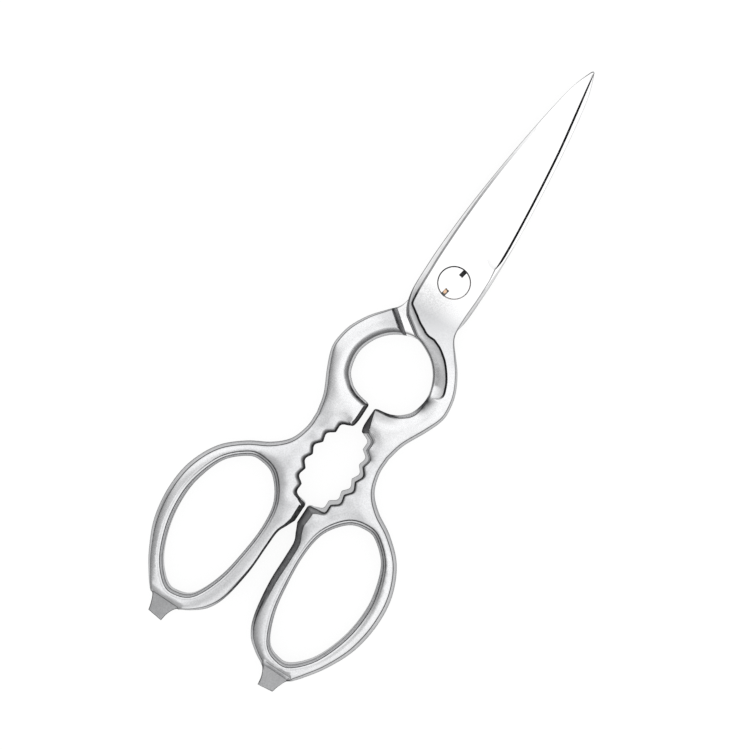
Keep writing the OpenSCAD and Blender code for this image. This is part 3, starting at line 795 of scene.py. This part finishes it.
    def netted(self, faces, side):
        """Cut a filled face into squares, closer ones on the handle."""
        for axis, cuts in ((1, np.array(TAB_STEPS[side > 0]) - TAB_ROOT),
                           (1, np.arange(NET + NET_OFFSET - HANDLE_LEN, -11, NET)),
                           (1, np.arange(-7 - NET_OFFSET, BLADE_LEN - 1, BLADE_NET)),
                           (0, np.arange(-7 - NET_OFFSET, BOW_OUT, NET))):
            normal = Vector((0, 1, 0)) if axis else Vector((1, 0, 0))
            for distance in cuts:
                faces = self.cut(faces, normal * distance, normal)
        inside = set(faces)
        slanted = [e for f in faces for e in f.edges
                   if len(e.link_faces) == 2 and all(g in inside for g in e.link_faces)
                   and abs(e.verts[0].co.x - e.verts[1].co.x) > NO_LENGTH
                   and abs(e.verts[0].co.y - e.verts[1].co.y) > NO_LENGTH]
        kept = {v for f in faces for v in f.verts}
        bmesh.ops.dissolve_edges(self.bm, edges=list(dict.fromkeys(slanted)), use_verts=True,
                                 use_face_split=False)
        return valid(kept)

    def lifted(self, verts, height):
        """Lift a flat net to its height; the bore's mouth stays flat."""
        at = np.array([(v.co.x, v.co.y) for v in verts])
        for v, z in zip(verts, height(at)):
            if math.hypot(v.co.x, v.co.y) > BORE_R + BORE_CHAMFER + 0.1:
                v.co.z = z

    def tab_line(self, verts, rows):
        """Painted shade in the crease between a loop and its tab."""
        for v in verts:
            if rows[0] - 0.01 < v.co.y + TAB_ROOT < rows[1] + 0.01:
                v[self.shade_and_scale] = max(v[self.shade_and_scale], TAB_CREASE_SHADE)

    def step_faces(self, start, end):
        """The small wall from the ledge up to the face, between two points of the outline."""
        line = np.array(run([[*p] for p in LEDGE_LINE], 4) + [np.array(LEDGE_LINE[-1])])
        d = np.gradient(line, axis=0)
        normal = np.stack([-d[:, 1], d[:, 0]], 1) / np.linalg.norm(d, axis=1)[:, None]
        low = self.ledge(line)
        high = self.face(line, True)
        chains = []
        # Painted shade along the step, darker towards the heel and past it, paler at the hook
        shade_and_scale = 0.1 + 0.5 * ease(-line[:, 1], -54, -25) + 0.6 * ease(-line[:, 1], 5, 11)
        shade_and_scale = shade_and_scale.clip(0, 1) * (1 - 0.5 * ease(-line[:, 1], 29, 30.6))
        for offset, share, strength in STEP_LINES:
            plan = line + normal * offset
            z = low + (high - low) * share
            verts = [self.bm.verts.new((p[0], p[1], h)) for p, h in zip(plan, z)]
            for v, t in zip(verts, shade_and_scale):
                v[self.shade_and_scale] = min(1.0, t * strength)
            chain = [start] + verts + [end]
            for pair in zip(chain, chain[1:]):
                self.bm.edges.new(pair)
            if chains:
                before = chains[-1]
                for i in range(len(chain) - 1):
                    ends = [before[i], before[i + 1], chain[i + 1], chain[i]]
                    self.bm.faces.new(list(dict.fromkeys(ends)))
            chains.append(chain)
        return chains[0], chains[-1]

    def build(self):
        path = self.contour
        first, last = (int(np.argmin(np.linalg.norm(path[:, :2] - end, axis=1)))
                       for end in (LEDGE_START, LEDGE_END))
        span = np.zeros(len(path), bool)
        span[first:last + 1] = True
        outer_low, outer_top = self.wall(path, span)
        hole_low, hole_top = self.wall(self.opening, double=0.2 + 0.6 * ease(
            self.opening[:, Y], -BOW_Y + 2, -BOW_TOP - 3))
        bore_low, bore_top = self.bore()
        low = self.fill(-1, (), (outer_low, hole_low, bore_low))
        ids = [v[self.order] for v in outer_top]
        a, b = ids.index(first), ids.index(last)
        foot, brow = self.step_faces(outer_top[a], outer_top[b])
        ledge = self.fill(1, (outer_top[a:b + 1], foot))
        face = self.fill(1, (outer_top[b:] + outer_top[:a + 1], brow), (hole_top, bore_top))
        low, ledge, face = self.netted(low, -1), self.netted(ledge, 1), self.netted(face, 1)
        self.lifted(low, lambda at: -self.face(at, False))
        self.lifted(face, lambda at: self.face(at, True))
        self.lifted(ledge, self.ledge)
        self.tab_line(low, TAB_LINE[0])
        self.tab_line(face, TAB_LINE[1])
        # Painted shade on the ledge's floor, fading out along the blade
        for v in ledge:
            v[self.shade_and_scale] = max(v[self.shade_and_scale], LEDGE_SHADE * (1 - ease(-v.co.y, 8, 14)))
        self.room_for_the_other_half()
        self.bm.verts.layers.int.remove(self.bm.verts.layers.int["order"])
        self.brush()
        bmesh.ops.remove_doubles(self.bm, verts=self.bm.verts[:], dist=WELD)
        bmesh.ops.dissolve_degenerate(self.bm, dist=NO_LENGTH, edges=self.bm.edges[:])
        loose = [e for e in self.bm.edges if not e.link_faces]
        bmesh.ops.delete(self.bm, geom=loose, context="EDGES")
        bmesh.ops.recalc_face_normals(self.bm, faces=self.bm.faces[:])
        self.sharpen()
        return self.bm

    def sharpen(self):
        """Shade smoothly over small angles; the flat blade keeps crisper edges."""
        for f in self.bm.faces:
            f.smooth = True
        for e in self.bm.edges:
            limit = BLADE_CREASE if e.verts[0].co.y > -HEEL_Y + 4 else CREASE
            e.smooth = e.calc_face_angle(0) < limit

    def room_for_the_other_half(self):
        """Hollow the ring behind the heel, where the other blade rides and swings."""
        direction = Vector((math.cos(LAP_ANGLE), math.sin(LAP_ANGLE), 0))
        for t in LAP_CUTS:
            low = [f for f in self.bm.faces if min(v.co.z for v in f.verts) < 0]
            self.cut(low, direction * (LAP_R + LAP_SLOPE * t), direction)
        verts = [v for v in self.bm.verts if v.co.z < RIDE_GAP / 2]
        at = np.array([(v.co.x, v.co.y) for v in verts])
        for v, floor in zip(verts, lap_floor(at)):
            if v.co.z < floor:
                v.co.z = floor
                if floor < 0:
                    # Painted shade on the lap's wall, darker the deeper it goes
                    v[self.shade_and_scale] = 0.12 + 0.75 * float(ease(-floor, 0.2, 3))

    def brush(self):
        """Say where the steel is satin and where it is polished, dull the tab, and paint shade in
        the dish beside the ring opening.
        """
        shade_and_scale = self.bm.verts.layers.float["shade_and_scale"]
        satin = self.bm.verts.layers.float["satin"]
        verts = list(self.bm.verts)
        at = np.array([v.co for v in verts])
        x, y = at[:, 0], at[:, 1]
        handle = ease(-y, 5, 12)
        ring = 1 - ease(np.hypot(x, y + RING_Y), RING_X - 1, RING_X + 3.5)
        neck = 1 - ease(-y, HEEL_Y + 3, HEEL_Y + 9)
        limb = ease(x, BOW_X + 3, BOW_X + 9) * ease(-y, BOW_TOP - 4, BOW_TOP + 4)
        amount = handle * (1 - 0.4 * ring * (1 - neck)) * (1 - 0.3 * limb)
        amount[np.abs(at[:, 2]) < 0.2] = 0  # the riding face is polished
        # Painted shade in the dish beside the hook, and fainter painted shade below it along the
        # ring opening
        angle = np.degrees(np.arctan2(y + OPENING_Y, x))
        near = 1 - ease(np.hypot(x, y + OPENING_Y), RING_R + 0.6, RING_R + 3.6)
        hook_shade = 0.9 * near ** 1.3 * ease(-angle, -5, 4) * (1 - ease(-angle, 14, 30))
        dish_shade = hook_shade + 0.4 * near * ease(-angle, 44, 62)
        dish_shade *= (at[:, 2] > 1) * (1 - ease(-angle, 84, 96))
        dull = TAB_TONE * ease(-y, TAB_ROOT - 1.4, TAB_ROOT)
        for v, a, t in zip(verts, amount, np.maximum(dull, dish_shade)):
            v[satin] = a
            v[shade_and_scale] += t * (1 - v[shade_and_scale])


def object_from(bm, name):
    mesh = bpy.data.meshes.new(name)
    bm.to_mesh(mesh)
    bm.free()
    thing = bpy.data.objects.new(name, mesh)
    bpy.context.scene.collection.objects.link(thing)
    return thing


def piece_from(bm, name, turned):
    """A finished piece in metres, in the frame's own place."""
    if turned:
        bmesh.ops.rotate(bm, cent=(0, 0, 0), matrix=Matrix.Rotation(math.pi, 3, "Y"),
                         verts=bm.verts[:])
    bmesh.ops.translate(bm, vec=PIVOT, verts=bm.verts[:])
    bmesh.ops.scale(bm, vec=(MM, MM, MM), verts=bm.verts[:])
    return object_from(bm, name)


# ---- looks ----

WHITE = (1, 1, 1, 1)
NOTCH_REFLECTION_TAN = (0.8, 0.5, 0.3, 1)
RUST = (0.33, 0.22, 0.14, 1)
# Repeats of each noise in a metre
CLOUD_SCALE = 220.0
GRAIN_SCALE = 2300.0
FLECK_SCALE = 900.0
STUD_CLOUD_SCALE = 400.0
STUD_GRAIN_SCALE = 2600.0
FLOOR_SCALE = 30.0


class Nodes:
    """Short ways to add and join the nodes of one shader."""

    def __init__(self, owner):
        owner.use_nodes = True
        self.tree = owner.node_tree
        self.tree.nodes.clear()

    def add(self, kind, **settings):
        node = self.tree.nodes.new(kind)
        for key, value in settings.items():
            setattr(node, key, value)
        return node

    def put(self, value, socket):
        if isinstance(value, bpy.types.NodeSocket):
            self.tree.links.new(value, socket)
        else:
            socket.default_value = value

    def fill(self, node, **values):
        """Put values into a node's sockets, by name with _ for a space."""
        for name, value in values.items():
            self.put(value, node.inputs[name.replace("_", " ")])
        return node

    def wired(self, node, *values):
        """Put values into a node's sockets in their order, and give back its first output."""
        for value, socket in zip(values, node.inputs):
            self.put(value, socket)
        return node.outputs[0]

    def math(self, operation, a, b=0.0, clamp=False):
        return self.wired(self.add("ShaderNodeMath", operation=operation, use_clamp=clamp), a, b)

    def times(self, first, *others):
        for value in others:
            first = self.math("MULTIPLY", first, value)
        return first

    def plus(self, first, *others):
        for value in others:
            first = self.math("ADD", first, value)
        return first

    def minus(self, a, b):
        return self.math("SUBTRACT", a, b)

    def mix(self, factor, a, b):
        node = self.add("ShaderNodeMix", data_type="RGBA", clamp_factor=True)
        self.put(factor, node.inputs[0])
        self.put(a, node.inputs[6])
        self.put(b, node.inputs[7])
        return node.outputs[2]

    def fade(self, value, low, high, start=0.0, end=1.0):
        node = self.add("ShaderNodeMapRange", interpolation_type="SMOOTHSTEP")
        return self.wired(node, value, low, high, start, end)

    def noise(self, place, scale, detail=3.0, roughness=0.5):
        node = self.add("ShaderNodeTexNoise")
        return self.fill(node, Vector=place, Scale=scale, Detail=detail,
                         Roughness=roughness).outputs["Fac"]

    def attribute(self, name):
        return self.add("ShaderNodeAttribute", attribute_name=name).outputs["Fac"]

    def place(self, output="Object"):
        """The place that is being coloured, and its x, y and z."""
        place = self.add("ShaderNodeTexCoord").outputs[output]
        axes = self.add("ShaderNodeSeparateXYZ")
        self.put(place, axes.inputs[0])
        return place, *axes.outputs

    def choice(self, factor, a, b, output):
        """Mix two shaders and send them to the output node."""
        both = self.wired(self.add("ShaderNodeMixShader"), factor, a.outputs[0], b.outputs[0])
        self.put(both, self.add(output).inputs["Surface"])

    def metal(self, base, scale, rough, height, strength, distance):
        """Metal with a fine grain, dark at every angle where its painted shade and scale lie."""
        bump = self.fill(self.add("ShaderNodeBump"), Height=height, Strength=strength,
                         Distance=distance)
        shader = self.fill(self.add("ShaderNodeBsdfPrincipled"), Metallic=1.0, Base_Color=base,
                           Specular_Tint=self.mix(scale, WHITE, rgba(colours().shade)),
                           Roughness=rough, Normal=bump.outputs[0])
        self.put(shader.outputs[0], self.add("ShaderNodeOutputMaterial").inputs["Surface"])


def rgba(colour, share=1.0):
    """A colour as a socket takes it, darkened to a share."""
    return (*(c * share for c in colour), 1.0)


def steel(name):
    """Steel that is polished on the blades and satin on the handles."""
    c = colours()
    material = bpy.data.materials.new(name)
    n = Nodes(material)
    place, x, y, z = n.place()
    handle = n.attribute("satin")
    cloud = n.noise(place, CLOUD_SCALE, 4.0, 0.6)
    grain = n.noise(place, GRAIN_SCALE, 3.0, 0.65)
    flecks = n.fade(n.noise(place, FLECK_SCALE), 0.3, 0.7, 0.92, 1.05)
    shade_and_scale = n.math("MULTIPLY", n.attribute("shade_and_scale"), flecks, clamp=True)
    clean = n.mix(handle, rgba(c.polished), rgba(c.satin))
    rougher = n.minus(1.0, n.times(handle, 0.13))
    duller = n.minus(0.985, n.times(handle, 0.04))
    shade = n.times(n.fade(grain, 0.3, 0.7, rougher, 1.04), n.fade(cloud, 0.3, 0.7, duller, 1.02))
    shade = n.minus(shade, neck_dust(n, x, y, grain, cloud))
    shade = n.minus(shade, scoop_mark(n, x, y, z))
    tint = n.add("ShaderNodeVectorMath", operation="SCALE")
    n.put(clean, tint.inputs[0])
    n.put(shade, tint.inputs["Scale"])
    # Painted shade, partly forging scale, darkens the base colour
    base = n.mix(shade_and_scale, tint.outputs[0], rgba(c.shade))
    # Painted shade under the stud's head, with a painted tan reflection in one notch
    base = n.mix(shade_under_stud(n, x, y, z), base,
                 n.mix(tan_notch(n, x, y), rgba(c.shade, 0.5), NOTCH_REFLECTION_TAN))
    rough = n.plus(n.times(handle, 0.2), 0.08, n.times(cloud, 0.05), n.times(shade_and_scale, 0.25))
    height = n.times(grain, n.plus(n.times(handle, 0.5), 0.03))
    n.metal(base, shade_and_scale, rough, height, 0.35, 0.04 * MM)
    return material


def around(n, x, y, centre, radii):
    """Distance from a place seen from above, in shares of an ellipse's radii."""
    across = n.math("DIVIDE", n.minus(x, centre[0] * MM), radii[0] * MM)
    along = n.math("DIVIDE", n.minus(y, (PIVOT.y + centre[1]) * MM), radii[1] * MM)
    return n.math("SQRT", n.plus(n.times(across, across), n.times(along, along)))


def neck_dust(n, x, y, grain, cloud):
    """Grey dust on the neck, between the stud and the ring, stronger on the left."""
    start, full, fading, end = ((PIVOT.y - down) * MM for down in (1, 7, 13, 22))
    dust = n.plus(n.fade(grain, 0.35, 0.65, 0.0, 0.22), n.fade(cloud, 0.3, 0.7, 0.02, 0.1))
    return n.times(n.fade(y, start, full), n.fade(y, end, fading),
                   n.fade(x, -2 * MM, 7 * MM, 1.0, 0.3), dust)


def tan_notch(n, x, y):
    """Where the notch nearer the handles shows a tan reflection."""
    return n.fade(around(n, x, y, (-0.8, -3.25), (0.5, 0.75)), 1.15, 0.7)


def scoop_mark(n, x, y, z):
    """Faint grey crescent where the grinding wheel ran out beside the cutting edge."""
    r = around(n, x, y, (7.6, 14.6), (5, 5))
    return n.times(n.fade(r, 1.04, 1.0), n.fade(r, 0.6, 0.95),
                   n.fade(x, 3 * MM, 5 * MM, 0.0, 0.16),
                   n.fade(y, (PIVOT.y + 12.5) * MM, (PIVOT.y + 11) * MM),
                   n.fade(z, (HALF_T + 1) * MM, (HALF_T + 2) * MM))


def shade_under_stud(n, x, y, z):
    """Painted shade on the riding plane under the stud's head."""
    inside = n.fade(around(n, x, y, (0, 0), (BORE_R, BORE_R)), 1, 0.98)
    height = n.math("ABSOLUTE", n.minus(z, HALF_T * MM))
    return n.times(inside, n.fade(height, 0.4 * MM, 0.3 * MM), 0.9)


def stud_steel():
    """Polished steel with painted shade, flecked with a slightly tan rust colour, in the notches
    of the head.
    """
    c = colours()
    material = bpy.data.materials.new("stud_steel")
    n = Nodes(material)
    place, _, _, z = n.place()
    head = HALF_T + BLADE_T
    below_head_shade = n.fade(z, (head - 0.05) * MM, (head - 0.25) * MM)
    cloud = n.noise(place, STUD_CLOUD_SCALE, 4.0, 0.6)
    grain = n.noise(place, STUD_GRAIN_SCALE, 2.0, 0.6)
    clean = n.mix(n.fade(cloud, 0.3, 0.7), rgba(c.polished, 0.95), rgba(c.polished))
    # Painted shade below the head's top, flecked with rust colour
    scale = n.mix(n.fade(grain, 0.4, 0.6), rgba(c.shade), RUST)
    n.metal(n.mix(below_head_shade, clean, scale), below_head_shade, n.fade(cloud, 0.3, 0.7, 0.1, 0.18), grain, 0.2,
            0.01 * MM)
    return material


def floor_paint():
    """Pale matt floor that looks white to the camera and keeps a faint shadow."""
    c = colours()
    material = bpy.data.materials.new("floor_paint")
    n = Nodes(material)
    place = n.place()[0]
    colour = n.mix(n.noise(place, FLOOR_SCALE), rgba(c.floor, 0.985), rgba(c.floor))
    seen = n.add("ShaderNodeLightPath").outputs["Is Camera Ray"]
    n.choice(FLOOR_GLOW, n.fill(n.add("ShaderNodeBsdfDiffuse"), Color=colour),
             n.fill(n.add("ShaderNodeEmission"), Strength=n.plus(n.times(seen, 0.35), 0.7)),
             "ShaderNodeOutputMaterial")
    return material


def studio_world():
    """White to the camera; light and grey fading into each other for the steel to reflect."""
    world = bpy.data.worlds.new("studio")
    bpy.context.scene.world = world
    n = Nodes(world)
    _, x, y, z = n.place("Generated")
    degree = math.pi / 180
    tilt = n.math("DIVIDE", n.math("ARCCOSINE", z), degree)
    along = n.math("DIVIDE", n.math("ARCSINE", y), -degree)
    across = n.math("DIVIDE", n.math("ARCSINE", x), degree)
    level = n.plus(n.fade(along, *GREY_FADE, 1.0, GREY_LEVEL),
                   n.fade(across, *RIGHT_FADE, 0.0, 0.6))
    level = n.times(n.math("MINIMUM", level, 1.0), n.fade(tilt, *LOW_FADE, 1.0, 0.6), STUDIO_LEVEL)
    soft = n.fill(n.add("ShaderNodeBackground"), Color=WHITE)
    sky = n.fill(n.add("ShaderNodeBackground"), Color=WHITE, Strength=level)
    mirrored = n.add("ShaderNodeLightPath").outputs["Is Glossy Ray"]
    n.choice(mirrored, soft, sky, "ShaderNodeOutputWorld")


# ---- operators ----


class SHEARS_OT_front_half(bpy.types.Operator):
    """Forge the front half: blade, ring, jaw and right bow with its tab"""

    bl_idname = "shears.front_half"
    bl_label = "Front half"

    def execute(self, context):
        piece = piece_from(Forging("lugs").build(), "front_forging", False)
        piece.data.materials.append(steel("front_steel"))
        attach(piece, "front")
        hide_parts("front_half")
        return {"FINISHED"}


class SHEARS_OT_rear_half(bpy.types.Operator):
    """Forge the rear half: the same forging turned over, with the rivet's hole"""

    bl_idname = "shears.rear_half"
    bl_label = "Rear half"

    def execute(self, context):
        piece = piece_from(Forging("rivet").build(), "rear_forging", True)
        piece.data.materials.append(steel("rear_steel"))
        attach(piece, "rear")
        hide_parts("rear_half")
        return {"FINISHED"}


class SHEARS_OT_pivot_stud(bpy.types.Operator):
    """Finish the pivot stud of the CAD frame"""

    bl_idname = "shears.pivot_stud"
    bl_label = "Pivot stud"

    def execute(self, context):
        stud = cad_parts["pivot_stud"]
        finish = stud_steel()
        for slot in stud.material_slots:
            slot.material = finish
        return {"FINISHED"}


class SHEARS_OT_stage(bpy.types.Operator):
    """Lay the white floor, light the studio and set the camera straight above"""

    bl_idname = "shears.stage"
    bl_label = "Studio"

    def execute(self, context):
        bm = bmesh.new()
        bmesh.ops.create_grid(bm, x_segments=4, y_segments=4, size=FLOOR_HALF)
        floor = object_from(bm, "studio_floor")
        floor.data.materials.append(floor_paint())
        studio_world()
        camera = bpy.data.objects.new("camera", bpy.data.cameras.new("camera"))
        camera.data.lens = CAMERA_LENS
        camera.data.sensor_width = CAMERA_SENSOR
        camera.location = CAMERA_PLACE
        camera.rotation_euler = (0, 0, CAMERA_TURN)
        context.scene.collection.objects.link(camera)
        context.scene.camera = camera
        context.scene.view_settings.view_transform = "Standard"
        return {"FINISHED"}


class SHEARS_PT_panel(bpy.types.Panel):
    bl_label = "Kitchen shears"
    bl_idname = "SHEARS_PT_panel"
    bl_space_type = "VIEW_3D"
    bl_region_type = "UI"
    bl_category = "Shears"

    def draw(self, context):
        for group in (context.scene.shears_sizes, context.scene.shears_colours):
            for name in group.bl_rna.properties.keys():
                if name not in ("rna_type", "name"):
                    self.layout.prop(group, name)
        for operator in OPERATORS:
            self.layout.operator(operator.bl_idname)


OPERATORS = (SHEARS_OT_front_half, SHEARS_OT_rear_half, SHEARS_OT_pivot_stud, SHEARS_OT_stage)
CLASSES = (ShearsSizes, ShearsColours, *OPERATORS, SHEARS_PT_panel)


def register():
    for cls in CLASSES:
        bpy.utils.register_class(cls)
    bpy.types.Scene.shears_sizes = PointerProperty(type=ShearsSizes)
    bpy.types.Scene.shears_colours = PointerProperty(type=ShearsColours)


def unregister():
    del bpy.types.Scene.shears_colours
    del bpy.types.Scene.shears_sizes
    for cls in reversed(CLASSES):
        bpy.utils.unregister_class(cls)


def main():
    register()
    bpy.ops.shears.front_half()
    bpy.ops.shears.rear_half()
    bpy.ops.shears.pivot_stud()
    bpy.ops.shears.stage()


if __name__ == "__main__":
    main()
